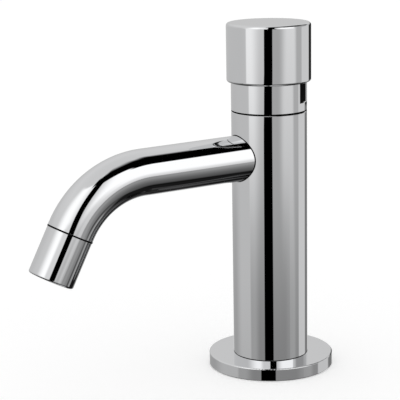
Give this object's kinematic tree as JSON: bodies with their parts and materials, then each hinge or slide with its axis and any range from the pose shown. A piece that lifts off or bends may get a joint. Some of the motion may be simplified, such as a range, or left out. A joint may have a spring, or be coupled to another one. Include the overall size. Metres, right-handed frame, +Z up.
{
  "type": "push timed tap",
  "caption": "Chrome self-closing basin tap: round pillar on a thin flange, push cap on top, bent round spout with outlet housing, and a threaded shank with washers and nut below the deck.",
  "frame": {"origin": "centre of the base flange's underside, on the deck that the tap is clamped to", "axes": "+Z up along the pillar's axis, -Y along the spout, +X to the right of a user who faces the tap from the front of the spout looking along +Y"},
  "size_m": [0.06, 0.1544, 0.2185],
  "materials": {
    "chrome": "polished",
    "brass": "machined",
    "stainless": "satin",
    "black_acetal": "satin",
    "white_acetal": "satin",
    "rubber": "matt"
  },
  "bodies": {
    "tap_body": {"flange_disc": "chrome", "base_gasket": "rubber", "pillar_body": "chrome", "base_plug": "brass", "base_plug_o_ring": "rubber", "inlet_shank": "brass", "inlet_filter": "stainless", "deck_washer": "rubber", "clamp_washer": "stainless", "fixing_nut": "brass", "riser_tube": "brass", "riser_o_rings": "rubber", "inlet_cup": "brass", "inlet_cup_o_ring": "rubber", "valve_seat": "brass", "cartridge_barrel": "white_acetal", "cartridge_o_ring": "rubber", "spindle_o_ring": "rubber", "metering_needle": "stainless", "gland_nut": "brass", "gland_o_ring": "rubber", "wiper_seal": "rubber", "collar_ring": "chrome", "guide_sleeve": "black_acetal", "return_spring": "stainless", "spout_tube": "chrome", "spout_bush": "brass", "spout_nipple": "brass", "spout_o_ring": "rubber", "aerator_housing": "chrome", "aerator_screen": "white_acetal", "aerator_body": "white_acetal", "flow_regulator": "white_acetal", "aerator_seal": "rubber"},
    "plunger": {"push_cap": "chrome", "cap_carrier": "brass", "spindle_nut": "stainless", "spindle": "stainless", "piston": "white_acetal", "piston_lip_seal": "rubber", "seal_washer": "stainless", "piston_clip": "stainless", "valve_washer": "rubber", "valve_holder": "brass", "valve_nut": "stainless"}
  },
  "joints": [
    {"name": "push_travel", "type": "slide", "parent": "tap_body", "child": "plunger", "axis": [0, 0, -1], "range_m": [0, 0.007], "stiffness_N_per_m": 1500, "springref_m": -0.01, "deforming": ["return_spring"]}
  ]
}
